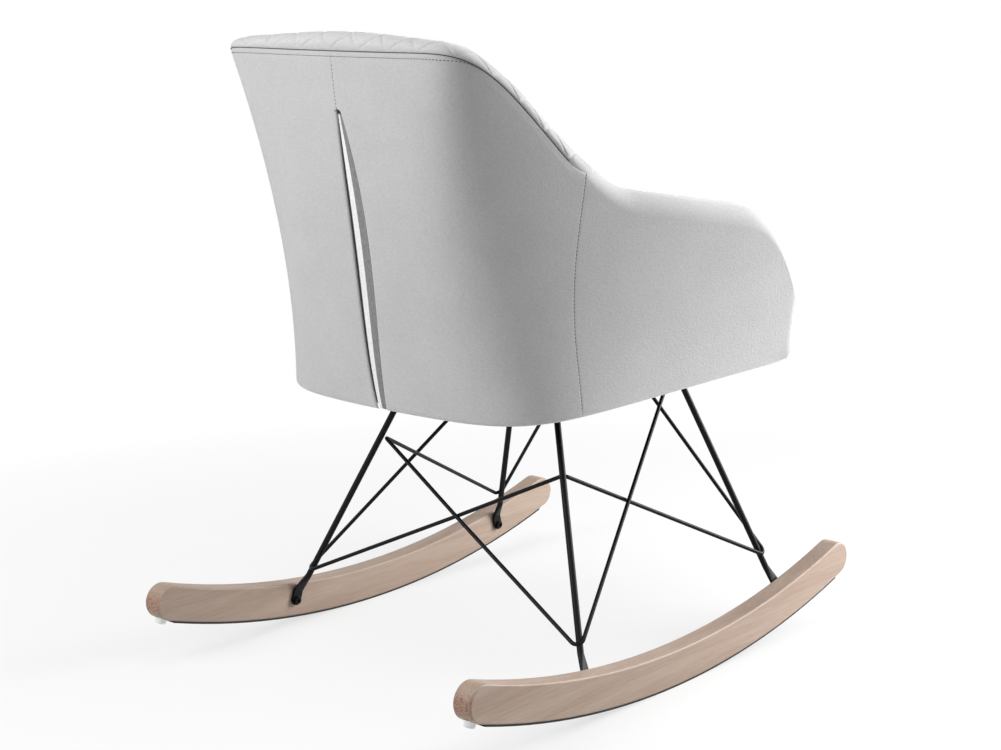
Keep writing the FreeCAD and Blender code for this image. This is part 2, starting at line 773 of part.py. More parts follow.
def slit_facing():
    """Pale tape that closes the slit from behind."""
    span = stations(*FACING_STATIONS, 4)
    top_gap = BACK_SEAM_Z - SLIT_TOP[1] - FACING_OVERLAP
    return wall_layer(span, (FACING_INSET, FACING_INSET + FACING_THICKNESS), HEM_HEIGHT, top_gap)


def back_lining():
    """Quilted lining of the back, from the rim seam over the roll and down to the seat."""
    sections = [Section(station) for station in back_stations()]
    foot_height = board_top() + SOFT_GAP
    grids = [[section.lining_points(depth, foot_height) for section in sections] for depth in (0.0, COVER)]
    return slab(*grids)


# Seat


def tub_outline(inset, height, first):
    """Points of the tub's outline at a height over the underside plane, without the arm fronts."""
    points = []
    for station in stations(first, 1 - first, WALL_STEPS):
        section = Section(station)
        points.append(section.outer(section.foot_z(inset, height) - section.foot_rise, inset))
    return points


def closed_outline(points, front_y):
    """Outline closed by an arc across the front, laid flat on a plane along the underside."""
    front = Part.Arc(points[-1], on_slope_of(points[0], front_y), points[0]).toShape()
    return Part.Wire([spline(points), front])


def on_slope_of(point, y):
    return Vector(0, y, point.z + UNDER_SLOPE * (point.y - y))


def flattened(points, height):
    return [Vector(p.x, p.y, under_z(p.y) + lift(height)) for p in points]


def board_prism(low, high):
    outline = flattened(tub_outline(BOARD_INSET, CLEARANCE, BOARD_TIP_STATION), low)
    face = Part.Face(closed_outline(outline, BOARD_FRONT_Y))
    return face.extrude(Z_AXIS * lift(high - low))


def seat_board():
    board = board_prism(board_bottom(), board_top())
    return board.cut([tee_nut_room(x, y) for x, y in seat_bolt_places()])


def dust_cover():
    """Thin black cloth stretched under the seat board, with holes for the bolts."""
    sheet = board_prism(CROSSBAR_THICKNESS, board_bottom())
    hole = M6_DIAMETER + HOLE_PLAY
    return sheet.cut([upright_disc(x, y, 0.0, hole, BOARD_THICKNESS) for x, y in seat_bolt_places()])


def pad_block(gap, low, high, front_y):
    wires = []
    for height in (low, high):
        outline = flattened(tub_outline(WALL_THICKNESS + gap, height, SEAT_TIP_STATION), height)
        wires.append(closed_outline(outline, front_y))
    return Part.makeLoft(wires, True, True)


def seat_foam():
    """Seat pad that lies on the board and hangs over its front edge."""
    low = CROSSBAR_THICKNESS + COVER
    pad = pad_block(SEAT_GAP + COVER + SOFT_GAP, low, SEAT_PAD_HEIGHT, SEAT_FRONT_Y + COVER + SOFT_GAP)
    return pad.cut(board_block())


def seat_cover():
    """Velvet over the top, the sides and the front of the seat pad."""
    low = CROSSBAR_THICKNESS + CLEARANCE
    outside = pad_block(SEAT_GAP, low, SEAT_PAD_HEIGHT + SOFT_GAP + COVER, SEAT_FRONT_Y)
    inside = pad_block(SEAT_GAP + COVER, 0.0, SEAT_PAD_HEIGHT + SOFT_GAP, SEAT_FRONT_Y + COVER)
    return outside.cut(inside).cut(board_block())


def main():
    os.makedirs("parts", exist_ok=True)
    save_pair("rocker", rocker())
    save_pair("grip_strip", grip_strip())
    save("end_bumpers", end_bumpers())
    save_pair("rear_leg", leg(REAR_LEG_LOW, REAR_LEG_HIGH))
    save_pair("front_leg", leg(FRONT_LEG_LOW, FRONT_LEG_HIGH))
    save("brace_wire_left", brace_wire(1))
    save("brace_wire_right", mirrored(brace_wire(-1)))
    save("foot_bolts", at_feet(foot_bolt))
    save("insert_nuts", at_feet(insert_nut))
    save("front_crossbar", crossbar(FRONT_CROSSBAR_Y, FRONT_CROSSBAR_LENGTH))
    save("rear_crossbar", crossbar(REAR_CROSSBAR_Y, REAR_CROSSBAR_LENGTH))
    save("seat_bolts", at_seat_bolts(seat_bolt))
    save("seat_washers", at_seat_bolts(seat_washer))
    save("tee_nuts", at_seat_bolts(tee_nut))
    save("seat_board", seat_board())
    save("dust_cover", dust_cover())
    save("moulded_shell", moulded_shell())
    save("wall_padding", wall_padding())
    save("rim_padding", rim_padding())
    save_pair("arm_cover", arm_cover())
    save("back_panel_left", back_panel().cut(slit_tool()))
    save("back_panel_right", mirrored(back_panel()).cut(slit_tool()))
    save("slit_facing", slit_facing())
    save("back_lining", back_lining())
    save("seat_foam", seat_foam())
    save("seat_cover", seat_cover())


main()
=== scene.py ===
import math

import bpy
import numpy as np
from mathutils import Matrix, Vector


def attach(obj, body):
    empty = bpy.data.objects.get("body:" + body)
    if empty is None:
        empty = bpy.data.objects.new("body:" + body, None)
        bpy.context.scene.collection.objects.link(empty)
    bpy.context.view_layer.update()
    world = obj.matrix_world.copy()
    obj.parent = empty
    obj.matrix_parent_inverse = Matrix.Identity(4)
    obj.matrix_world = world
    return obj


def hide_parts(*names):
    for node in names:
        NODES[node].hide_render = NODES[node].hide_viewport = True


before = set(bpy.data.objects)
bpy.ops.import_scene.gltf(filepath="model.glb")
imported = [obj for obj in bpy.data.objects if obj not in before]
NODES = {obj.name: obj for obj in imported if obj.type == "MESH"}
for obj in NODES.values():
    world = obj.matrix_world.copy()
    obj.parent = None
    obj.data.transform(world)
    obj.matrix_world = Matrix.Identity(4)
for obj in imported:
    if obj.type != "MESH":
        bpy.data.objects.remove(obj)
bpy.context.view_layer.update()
BODY = "root"
MM = 0.001

# Underside plane and tub outline, as in the part's source, in mm
UNDER_Y = 230.0
UNDER_Z = 340.0
UNDER_SLOPE = 0.08
TUB_BOTTOM = [(82.0, 228.0), (229.0, 207.0), (238.0, 34.0), (284.0, -211.0)]
TUB_MIDDLE = [(86.0, 283.0), (162.0, 235.0), (262.0, 30.0), (316.0, -211.0)]
TUB_TOP = [(150.0, 305.0), (205.0, 324.0), (256.0, 25.0), (334.0, -211.0)]
TUB_TOP_Z = 775.0
TUB_KNOTS = np.array([0.0] * 4 + [0.2, 0.4, 0.6, 0.8] + [1.0] * 4)
SECTION_LEVEL = 0.4
WALL_THICKNESS = 48.0
BACK_SEAM_Z = 759.0
ARM_SEAM_Z = 563.0
ARM_SEAM_SLOPE = 0.166
SLOPE_START_Y = 56.0
SLOPE_END_Y = 326.0
NOSE_TOP_RUN = 121.0
NOSE_TOP_DROP = 125.0
NOSE_TOP_POWER = 2.7
NOSE_FOOT_RUN = 42.0
NOSE_FOOT_RISE = 18.0
ROLL_HEIGHTS = [(0.0, 26.0), (0.12, 26.0), (0.2, 17.0), (0.26, 10.0), (0.5, 19.0)]
HEM_HEIGHT = -3.0
SEAT_BOARD_TOP = 19.0
SIDE_SEAM = [(0.0, 0.1425), (0.2, 0.1457), (0.5, 0.1495), (0.75, 0.1458), (1.0, 0.1405)]
SLIT_TOP_Z = 690.0
SLIT_LEFT = [(1.0, 690.0), (2.0, 630.0), (4.0, 530.0), (9.5, 440.0), (9.5, 320.0)]
SLIT_RIGHT = [(-5.0, 690.0), (-15.0, 645.0), (-21.5, 590.0), (-19.0, 480.0), (-3.0, 320.0)]
SLIT_PULL = 50.0

# Sewing, in mm: each turned edge as its run along the cloth and its depth
CLOTH = 1.4
RIM_EDGE = (9.0, 1.6)
SEAM_EDGE = (1.8, 0.5)
FOLD_EDGE = (3.0, 2.0)
HEM_EDGE = (6.0, 4.0)
LINING_EDGE = (5.0, 1.8)
QUILT_PITCH = 46.0
QUILT_RISE = 1.9
QUILT_GROOVE = 1.3
QUILT_LINE_SHARE = 0.85
CROSSING_STATIONS = (0.158, 0.105)
CROSSING_TURN = 0.49
STITCH_PITCH = 4.3
STITCH_LENGTH = 2.3
STITCH_RADIUS = 0.5
STITCH_SINK = 0.35
TOPSTITCH_DROP = 6.0
TOPSTITCH_START = 0.262
TOPSTITCH_MERGE = 0.05
# Rim seam: dark beads that overlap into one line, partly thread and partly painted shade in the seam's groove
RIM_SHADE_LINE_PITCH = 3.0
RIM_SHADE_LINE_LENGTH = 3.4
RIM_SHADE_LINE_SINK = 0.9
BAR_TACK_WIDTH = 8.0
SIDE_ROW = (0.03, 0.985)
MIDDLE_ROW = (0.845, 0.97)
BAR_TACK_PATH = 0.842
STRIP_THICKNESS = 0.4

# Gathered corner of an arm, in mm: how far it lies from the front and the hem, and how far it spreads
CORNER_BULGE = 3.0
BULGE_FROM_FRONT = 20.0
BULGE_SPREAD = (15.0, 16.0)
CREASE_DEPTH = 1.6
CREASE_FROM_FRONT = 30.0
CREASE_FROM_HEM = 5.0
CREASE_LEAN = 0.7
CREASE_SPREAD = (2.0, 8.0)

# Fineness of the cloth grids: stations along the wall and rows up it, with the lengths in mm they divide
MIDDLE = 0.5
WALL_HEIGHT = 400.0
LINING_FRONT = 0.05
LINING_FRONT_STATIONS = 15
LINING_STATIONS = 900
LINING_ROWS = 190
LINING_CROWDING = 1.15
ARM_RUN, ARM_HEIGHT = 390.0, 300.0
ARM_STATIONS, ARM_ROWS = 120, 110
NOSE_SHARE = 0.12
NOSE_STATIONS = 24
BACK_RUN = 330.0
BACK_STATIONS, BACK_ROWS = 100, 150
STRIP_ROWS, STRIP_COLUMNS = 90, 25
BEAD_SIDES, BEAD_RINGS = 6, 4

# Seat cushion: voxel, height held on the board and most that a point may move, in m, and the blowing up
CUSHION_VOXEL = 0.006
CUSHION_HELD = 0.024
CUSHION_PRESSURE = 4.0
CUSHION_FRAMES = 20
CUSHION_SIDE_CAP = 0.001
CUSHION_SINK_CAP = 0.002
CUSHION_RISE_CAP = 0.014

# Picture: the photograph's frame and the camera that matches it
IMAGE_WIDTH = 1001
FOCAL_PIXELS = 1943.0
SENSOR_MM = 36.0
CAMERA_TARGET = Vector((0.0, 0.019, 0.3483))
CAMERA_AZIMUTH = 221.37
CAMERA_ELEVATION = 11.52
CAMERA_DISTANCE = 2.43
FLOOR_HALF = 12.0
AIR_LIGHT = 0.1

# Softboxes: turn from the camera and elevation in degrees, distance and size in m, power in W
SOFTBOXES = {"left_softbox": (-60, 30, 1.8, 1.0, 22.0), "right_softbox": (103, 15, 1.6, 0.9, 42.0),
             "top_softbox": (0, 80, 2.2, 1.4, 21.0)}


# Tub wall

def under_z(y):
    return UNDER_Z + UNDER_SLOPE * (UNDER_Y - y)


def smooth(part):
    part = np.clip(part, 0.0, 1.0)
    return part * part * (3.0 - 2.0 * part)


def quarter_round(distance, run, rise):
    """Quarter ellipse that starts at distance 0 and stays at rise beyond the run."""
    left = np.clip(1.0 - distance / run, 0.0, 1.0)
    return rise * np.sqrt(1.0 - left * left)


def dot(a, b):
    return (a * b).sum(-1)


def tub_poles():
    rows = []
    for outline, level in ((TUB_BOTTOM, 0.0), (TUB_MIDDLE, 0.5), (TUB_TOP, 1.0)):
        half = []
        for (x, y), (_, low_y) in zip(outline, TUB_BOTTOM):
            low = under_z(low_y)
            half.append((x, y, low + level * (TUB_TOP_Z - low)))
        rows.append([(-x, y, z) for x, y, z in reversed(half)] + half)
    return np.array(rows).transpose(1, 0, 2)


POLES = tub_poles()


def pole_shares(station):
    """Share of each pole of a cubic outline at the stations."""
    u = np.clip(station, 0.0, 1.0 - 1e-9)[..., None]
    shares = ((u >= TUB_KNOTS[:-1]) & (u < TUB_KNOTS[1:])).astype(float)
    for degree in (1, 2, 3):
        count = len(TUB_KNOTS) - 1 - degree
        run_up = TUB_KNOTS[degree:degree + count] - TUB_KNOTS[:count]
        run_down = TUB_KNOTS[degree + 1:degree + 1 + count] - TUB_KNOTS[1:1 + count]
        rise = (u - TUB_KNOTS[:count]) / np.where(run_up == 0, 1, run_up)
        fall = (TUB_KNOTS[degree + 1:degree + 1 + count] - u) / np.where(run_down == 0, 1, run_down)
        shares = rise * shares[..., :count] + fall * shares[..., 1:count + 1]
    return shares


def tub(station, level):
    """Outer face of the tub: station 0 to 1 from one arm front round the back, level 0 to 1 upward."""
    rows = np.tensordot(pole_shares(station), POLES, axes=(-1, 0))
    v = np.asarray(level)[..., None]
    return (1 - v) ** 2 * rows[..., 0, :] + 2 * v * (1 - v) * rows[..., 1, :] + v * v * rows[..., 2, :]


def tub_at(station, z):
    low = tub(station, np.zeros_like(station))[..., 2]
    return tub(station, (z - low) / (TUB_TOP_Z - low))


def side_profile(y):
    """Height of the seam under the roll where the wall's outer face lies at y."""
    arm = ARM_SEAM_Z + ARM_SEAM_SLOPE * y
    return arm + (BACK_SEAM_Z - arm) * smooth((y - SLOPE_START_Y) / (SLOPE_END_Y - SLOPE_START_Y))


def roll_height(station):
    """Height of the rolled edge over its seam, full on the arms and slim at the corners of the back."""
    from_front = np.minimum(station, 1 - station)
    height = ROLL_HEIGHTS[0][1] + np.zeros_like(station)
    for (first, low), (last, high) in zip(ROLL_HEIGHTS, ROLL_HEIGHTS[1:]):
        eased = low + (high - low) * smooth((from_front - first) / (last - first))
        height = np.where(from_front >= first, eased, height)
    return height


class Wall:
    """Upright sections across the padded wall, one for each station of an array."""

    STEP = 1e-4
    ROUNDS = 4

    def __init__(self, station):
        self.station = station
        level = np.full_like(station, SECTION_LEVEL)
        ahead = np.minimum(station + self.STEP, 1.0)
        behind = np.maximum(station - self.STEP, 0.0)
        tangent = (tub(ahead, level) - tub(behind, level)) / (ahead - behind)[..., None]
        tangent[..., 2] = 0.0
        self.speed = np.linalg.norm(tangent, axis=-1)
        self.along = tangent / self.speed[..., None]
        self.inward = np.stack([self.along[..., 1], -self.along[..., 0], np.zeros_like(station)], -1)
        self.base = tub(station, level)
        tip = tub(np.where(station < 0.5, 0.0, 1.0), level)
        self.from_tip = np.abs(dot(self.base - tip, self.along))
        self.half = quarter_round(self.from_tip, WALL_THICKNESS / 2, WALL_THICKNESS / 2)
        self.foot_rise = NOSE_FOOT_RISE - quarter_round(self.from_tip, NOSE_FOOT_RUN, NOSE_FOOT_RISE)
        seam = np.full_like(station, BACK_SEAM_Z)
        for _ in range(self.ROUNDS):
            seam = side_profile(self.outer(np.minimum(seam, TUB_TOP_Z), 0.0)[..., 1])
        before_tip = np.clip(1 - self.from_tip / NOSE_TOP_RUN, 0.0, 1.0)
        self.roll_z = seam - NOSE_TOP_DROP * before_tip ** NOSE_TOP_POWER
        self.roll_height = roll_height(station)

    def outer(self, z, inset):
        """Points at height z on the tub's face, moved inward."""
        station = self.station + np.zeros_like(z)
        for _ in range(self.ROUNDS):
            gap = dot(tub_at(station, z) - self.base, self.along)
            station = np.clip(station - gap / self.speed, 0.0, 1.0)
        inside = dot(tub_at(station, z) - self.base, self.inward) + inset
        flat = self.base + self.inward * inside[..., None]
        return np.stack([flat[..., 0], flat[..., 1], z + np.zeros_like(inside)], -1)

    def foot_z(self, inset, height):
        z = self.base[..., 2]
        for _ in range(self.ROUNDS):
            z = under_z(self.outer(z, inset)[..., 1]) + height
        return z + self.foot_rise

    def skin(self, path, depth, outer_foot, inner_foot):
        """Points on the wall: path 0 to 1 up the outer face, to 2 over the roll, to 3 down the inner face."""
        reach = self.half - depth
        outside = WALL_THICKNESS / 2 - reach
        inside = WALL_THICKNESS / 2 + reach
        low = self.foot_z(outside, outer_foot)
        up = self.outer(low + (self.roll_z - low) * np.clip(path, 0, 1), outside)
        low = self.foot_z(inside, inner_foot)
        down = self.outer(self.roll_z + (low - self.roll_z) * np.clip(path - 2, 0, 1), inside)
        turn = math.pi * np.clip(path - 1, 0, 1)
        over = self.outer(self.roll_z + np.zeros_like(path), WALL_THICKNESS / 2)
        over = over - self.inward * (reach * np.cos(turn))[..., None]
        over[..., 2] += (self.roll_height - depth) * np.sin(turn)
        path = path[..., None]
        return np.where(path <= 1, up, np.where(path < 2, over, down))


def seam_path(station):
    """Where the lining's seam lies on the wall: at the outer edge of the back, on the crest of the arms."""
    from_front = np.minimum(station, 1 - station)
    start, end = CROSSING_STATIONS
    return 1.0 + CROSSING_TURN * smooth((start - from_front) / (start - end))


# Cloth grids

def distances(grid, axis):
    """Length along the grid lines of one axis, from their start and from their end."""
    steps = np.linalg.norm(np.diff(grid, axis=axis), axis=-1)
    start = np.concatenate([np.zeros_like(np.take(steps, [0], axis)), np.cumsum(steps, axis)], axis)
    return start, np.take(start, [-1], axis) - start


def turned_in(distance, edge):
    """How deep a cloth lies near an edge that turns in over a run and a depth."""
    run, depth = edge
    left = np.clip(1.0 - distance / run, 0.0, 1.0)
    return depth * (1.0 - np.sqrt(1.0 - left * left))


def groove(distance, width):
    return np.exp(-(distance / width) ** 2)


def places(count, length, start_edge, end_edge):
    """Places from 0 to 1 along a cloth, with extra ones inside its turned edges."""
    crowd = np.array([0.0, 0.06, 0.18, 0.36, 0.62, 1.0])
    first = crowd * start_edge[0] / length
    last = 1 - crowd[::-1] * end_edge[0] / length
    return np.concatenate([first, np.linspace(first[-1], last[0], count)[1:-1], last])


def add_piece(name, points, faces, material):
    mesh = bpy.data.meshes.new(name)
    mesh.from_pydata((points * MM).tolist(), [], faces)
    mesh.validate()
    mesh.shade_smooth()
    mesh.materials.append(material)
    piece = bpy.data.objects.new(name, mesh)
    bpy.context.scene.collection.objects.link(piece)
    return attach(piece, BODY)


def cloth_faces(rows, columns):
    """Quads of a closed cloth: its face, its back and the strip round its edge."""
    index = np.arange(rows * columns).reshape(rows, columns)
    back = index + rows * columns
    face = np.stack([index[:-1, :-1], index[1:, :-1], index[1:, 1:], index[:-1, 1:]], -1).reshape(-1, 4)
    inner = np.stack([back[:-1, :-1], back[:-1, 1:], back[1:, 1:], back[1:, :-1]], -1).reshape(-1, 4)
    ring = np.concatenate([index[0, :-1], index[:-1, -1], index[-1, :0:-1], index[:0:-1, 0]])
    after = np.roll(ring, -1)
    strip = np.stack([ring, after, after + rows * columns, ring + rows * columns], -1)
    return np.concatenate([face, inner, strip])


def sew(name, grid, outward, thickness, material):
    """Closed cloth of some thickness under a grid of points, facing outward."""
    rows, columns = grid.shape[:2]
    points = np.concatenate([grid.reshape(-1, 3), (grid - outward * thickness).reshape(-1, 3)])
    faces = cloth_faces(rows, columns)
    across = np.cross(grid[1:, :-1] - grid[:-1, :-1], grid[:-1, 1:] - grid[:-1, :-1])
    if dot(across, outward[:-1, :-1]).sum() < 0:
        faces = faces[:, ::-1]
    return add_piece(name, points, faces.tolist(), material)


def on_wall(station, path, outer_foot=HEM_HEIGHT, inner_foot=SEAT_BOARD_TOP):
    """Points on the wall's skin and the way out of it there."""
    wall = Wall(station)
    face = wall.skin(path, 0.0, outer_foot, inner_foot)
    deeper = wall.skin(path, 4.0, outer_foot, inner_foot)
    out = face - deeper
    room = np.minimum(1.0, wall.half / (2.5 * CLOTH)) + np.zeros_like(path)
    return face, out / np.linalg.norm(out, axis=-1, keepdims=True), room[..., None]


# Upholstery pieces

def quilting(along, down):
    """Height of diamond quilting, 0 to 1: crowned pads between narrow sewn lines."""
    height = 1.0
    for cross in (along + down, along - down):
        off_line = np.abs((cross / QUILT_PITCH + 0.5) % 1.0 - 0.5) * QUILT_PITCH / math.sqrt(2)
        crown = np.sin(math.pi * off_line * math.sqrt(2) / QUILT_PITCH)
        line = 1 - groove(off_line, QUILT_GROOVE)
        height = height * (QUILT_LINE_SHARE * line + (1 - QUILT_LINE_SHARE) * crown ** 0.5)
    return height


def sewn_lining(material):
    """Quilted lining, from the seam over the rim and down the inner side of the back and arms."""
    front = LINING_FRONT * np.linspace(0, 1, LINING_FRONT_STATIONS)[:-1] ** 2
    middle = np.linspace(LINING_FRONT, 1 - LINING_FRONT, LINING_STATIONS)
    station = np.concatenate([front, middle, 1 - front[::-1]])[:, None]
    wall = Wall(station)
    seam = seam_path(station)
    roll = (2 - seam) * math.pi * WALL_THICKNESS / 2
    face = wall.roll_z - wall.foot_z(WALL_THICKNESS, SEAT_BOARD_TOP)
    share = places(LINING_ROWS, WALL_HEIGHT, LINING_EDGE, LINING_EDGE) ** LINING_CROWDING
    length = (roll + face) * share[None, :]
    path = np.where(length < roll, seam + (2 - seam) * length / roll, 2 + (length - roll) / face)
    grid, out, room = on_wall(station, path)
    along = distances(grid, 0)[0][:, :1]
    along = along - along[len(along) // 2]
    down, to_foot = distances(grid, 1)
    puff = quilting(along, down) * smooth(down / 9.0) * smooth(to_foot / 20.0)
    rise = QUILT_RISE * puff - turned_in(down, LINING_EDGE)
    grid = grid + out * (rise[..., None] * room)
    piece = sew("quilted_lining", grid, out, CLOTH * room, material)
    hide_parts("back_lining", "wall_padding", "rim_padding")
    return piece


def side_seam(share):
    """Station of the seam between back and arm, at a share of the height from hem to rim."""
    heights, stations = np.array(SIDE_SEAM).T
    return np.polyval(np.polyfit(heights, stations, len(SIDE_SEAM) - 1), share)


def corner_bulge(from_front, from_hem):
    """Gathered cloth at the lower front corner of an arm, where the padding bulges past the hem."""
    wide, high = BULGE_SPREAD
    return CORNER_BULGE * groove(from_front - BULGE_FROM_FRONT, wide) * groove(from_hem, high)


def corner_crease(from_front, from_hem):
    """One short fold that runs up from the hem beside the gathered corner."""
    wide, high = CREASE_SPREAD
    slanted = from_front - CREASE_FROM_FRONT + CREASE_LEAN * from_hem
    return CREASE_DEPTH * groove(slanted, wide) * groove(from_hem - CREASE_FROM_HEM, high)


def sewn_arm(name, node, left, material):
    """Outer cover of one arm, from the side seam to the rounded front and over the top."""
    run = places(ARM_STATIONS, ARM_RUN, SEAM_EDGE, SEAM_EDGE)
    nose = NOSE_SHARE * np.linspace(1, 0, NOSE_STATIONS) ** 2
    share = places(ARM_ROWS, ARM_HEIGHT, HEM_EDGE, LINING_EDGE)[None, :]
    station = side_seam(share) * np.concatenate([1 - run[run < 1 - NOSE_SHARE], nose])[:, None]
    grid, out, room = on_wall(station, seam_path(station) * share)
    from_side, from_front = distances(grid, 0)
    from_hem, from_rim = distances(grid, 1)
    depth = np.maximum(turned_in(from_side, SEAM_EDGE), turned_in(from_rim, LINING_EDGE))
    depth = np.maximum(depth, turned_in(from_hem, HEM_EDGE))
    bulge = corner_bulge(from_front, from_hem)
    rise = bulge - corner_crease(from_front, from_hem) - depth
    grid = grid + out * (rise[..., None] * room)
    grid[..., 2] -= bulge
    if left:
        grid, out = mirrored(grid), mirrored(out)
    piece = sew(name, grid, out, CLOTH * room, material)
    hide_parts(node)
    return piece


def mirrored(points):
    return points * np.array([-1.0, 1.0, 1.0])


def slit_edge(points, z):
    """Place across the back of one edge of the slit at height z, on a smooth curve through its points."""
    x, heights = np.array(points).T
    middle = heights.mean()
    curve = np.polyfit(heights - middle, x, len(points) - 1)
    return np.where(z < SLIT_TOP_Z, np.polyval(curve, z - middle), 0.0)


def sewn_back(name, node, left, material):
    """Outer cover of one half of the back, from the middle seam and slit to the side seam."""
    run = places(BACK_STATIONS, BACK_RUN, FOLD_EDGE, SEAM_EDGE)[:, None]
    share = places(BACK_ROWS, WALL_HEIGHT, HEM_EDGE, RIM_EDGE)[None, :]
    station = MIDDLE - (MIDDLE - side_seam(share)) * run
    grid, out, _ = on_wall(station, seam_path(station) * share)
    opened = -slit_edge(SLIT_LEFT, grid[..., 2]) if left else slit_edge(SLIT_RIGHT, grid[..., 2])
    grid[..., 0] += opened * groove(grid[..., 0], SLIT_PULL)
    from_middle, from_side = distances(grid, 0)
    from_hem, from_rim = distances(grid, 1)
    depth = np.maximum(turned_in(from_side, SEAM_EDGE), turned_in(from_rim, RIM_EDGE))
    depth = np.maximum(depth, turned_in(from_hem, HEM_EDGE))
    below = smooth((SLIT_TOP_Z + 3.0 - grid[..., 2]) / 6.0)
    middle = turned_in(from_middle, SEAM_EDGE) * (1 - below) + turned_in(from_middle, FOLD_EDGE) * below
    depth = np.maximum(depth, middle) + 0.5 * groove(from_rim - TOPSTITCH_DROP, 1.6)
    grid = grid - out * depth[..., None]
    if left:
        grid, out = mirrored(grid), mirrored(out)
    piece = sew(name, grid, out, CLOTH, material)
    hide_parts(node)
    wide = distances(grid, 0)[0].max() * MM
    high = distances(grid, 1)[0].max() * MM
    return piece


def slit_strip(name, shares, depths, middle_line, material):
    """Narrow strip behind the slit, between two shares of the slit's width, with one sewn line."""
    low = HEM_EDGE[0] / WALL_HEIGHT
    path = np.concatenate([np.linspace(0, low, 5), np.linspace(low, 1, STRIP_ROWS)[1:]])
    grid, out, _ = on_wall(np.array([[MIDDLE]]), path[None, :])
    kept = grid[0, :, 2] < SLIT_TOP_Z - 1.0
    grid, out = grid[:, kept], out[:, kept]
    z = grid[..., 2]
    from_hem = distances(grid, 1)[0]
    across = np.linspace(0, 1, STRIP_COLUMNS)[:, None]
    share = shares[0] + (shares[1] - shares[0]) * across
    left = slit_edge(SLIT_LEFT, z)
    x = left + (slit_edge(SLIT_RIGHT, z) - left) * share
    depth = depths[0] + (depths[1] - depths[0]) * across + turned_in(from_hem, HEM_EDGE)
    from_edge = np.minimum(across, 1 - across)
    depth = depth + 0.35 * groove(across - middle_line, 0.1) + 0.5 * groove(from_edge, 0.06)
    grid = grid + np.zeros_like(x)[..., None]
    grid[..., 0] += x
    out = out + np.zeros_like(grid)
    return sew(name, grid - out * depth[..., None], out, STRIP_THICKNESS, material)


def stitch_shape():
    """One stitch: a small closed bead, long along its first axis."""
    rings = np.linspace(0, math.pi, BEAD_RINGS + 2)[1:-1]
    turns = np.linspace(0, 2 * math.pi, BEAD_SIDES + 1)[:-1]
    points = [(-1.0, 0.0, 0.0)]
    for ring in rings:
        for turn in turns:
            points.append((-math.cos(ring), math.sin(ring) * math.cos(turn), math.sin(ring) * math.sin(turn)))
    points.append((1.0, 0.0, 0.0))
    last = 1 + BEAD_RINGS * BEAD_SIDES
    faces = []
    for side in range(BEAD_SIDES):
        after = (side + 1) % BEAD_SIDES
        faces.append((0, 1 + after, 1 + side))
        faces.append((last, last - BEAD_SIDES + side, last - BEAD_SIDES + after))
        for low in range(1, last - BEAD_SIDES, BEAD_SIDES):
            high = low + BEAD_SIDES
            faces.append((low + side, low + after, high + after, high + side))
    return np.array(points), faces


def along_line(values, reach, where):
    """Values at lengths along a line whose points have the given reach."""
    return np.stack([np.interp(where, reach, values[:, k]) for k in range(3)], -1)


def stitch_row(line, out, pitch=STITCH_PITCH, long=STITCH_LENGTH):
    """Points of the stitches along a line of points on the cloth."""
    reach = np.concatenate([[0], np.cumsum(np.linalg.norm(np.diff(line, axis=0), axis=1))])
    middles = np.arange(pitch / 2, reach[-1], pitch)
    centre = along_line(line, reach, middles)
    ahead = along_line(line, reach, middles + 1) - along_line(line, reach, middles - 1)
    ahead = ahead / np.linalg.norm(ahead, axis=1, keepdims=True)
    up = along_line(out, reach, middles)
    side = np.cross(up, ahead)
    shape, _ = stitch_shape()
    size = shape * np.array([long / 2, STITCH_RADIUS, STITCH_RADIUS])
    axes = np.stack([ahead, side, up], 1)
    return centre[:, None, :] + np.einsum("pk,skc->spc", size, axes)


def sew_stitches(name, rows, material):
    points = np.concatenate(rows)
    _, faces = stitch_shape()
    count = points.shape[1]
    all_faces = [tuple(i + count * k for i in face) for k in range(len(points)) for face in faces]
    return add_piece(name, points.reshape(-1, 3), all_faces, material)


def wall_row(station, path, depth, **stitches):
    """Row of stitches on the wall's skin, sunk to a depth."""
    grid, out, _ = on_wall(np.asarray(station)[:, None], np.asarray(path)[:, None])
    return stitch_row((grid - out * depth)[:, 0], out[:, 0], **stitches)


def sewn_thread_and_seam_shade(material):
    """Stitches of the side seams, the topstitch along the back's rim and the bar tack, with beads laid end to
    end in the rim seam as one dark line that is partly thread and partly painted shade of the seam's groove.
    """
    share = np.linspace(*SIDE_ROW, 120)
    seam = side_seam(share)
    right = wall_row(seam, seam_path(seam) * share, STITCH_SINK)
    middle = wall_row(np.full(30, MIDDLE), np.linspace(*MIDDLE_ROW, 30), STITCH_SINK)
    back = np.linspace(TOPSTITCH_START, MIDDLE, 160)
    wall = Wall(back)
    drop = TOPSTITCH_DROP * smooth((back - TOPSTITCH_START) / TOPSTITCH_MERGE)
    top = wall_row(back, 1 - drop / (wall.roll_z - wall.foot_z(0.0, HEM_HEIGHT)), STITCH_SINK)
    edge = np.linspace(CROSSING_STATIONS[0], MIDDLE, 260)
    # Beads overlap here into one dark line, painted shade of the seam's groove as well as thread
    rim = wall_row(edge, seam_path(edge), RIM_SHADE_LINE_SINK, pitch=RIM_SHADE_LINE_PITCH, long=RIM_SHADE_LINE_LENGTH)
    tack, out, _ = on_wall(np.array([[MIDDLE]]), np.array([[BAR_TACK_PATH]]))
    tack = tack[0] + np.linspace(-1, 1, 5)[:, None] * np.array([BAR_TACK_WIDTH / 2, 0, 0])
    bar = stitch_row(tack, np.repeat(out[0], 5, 0))
    rows = [right, mirrored(right), middle, top, mirrored(top), rim, mirrored(rim), bar]
    return sew_stitches("sewing_thread_and_seam_shade", rows, material)


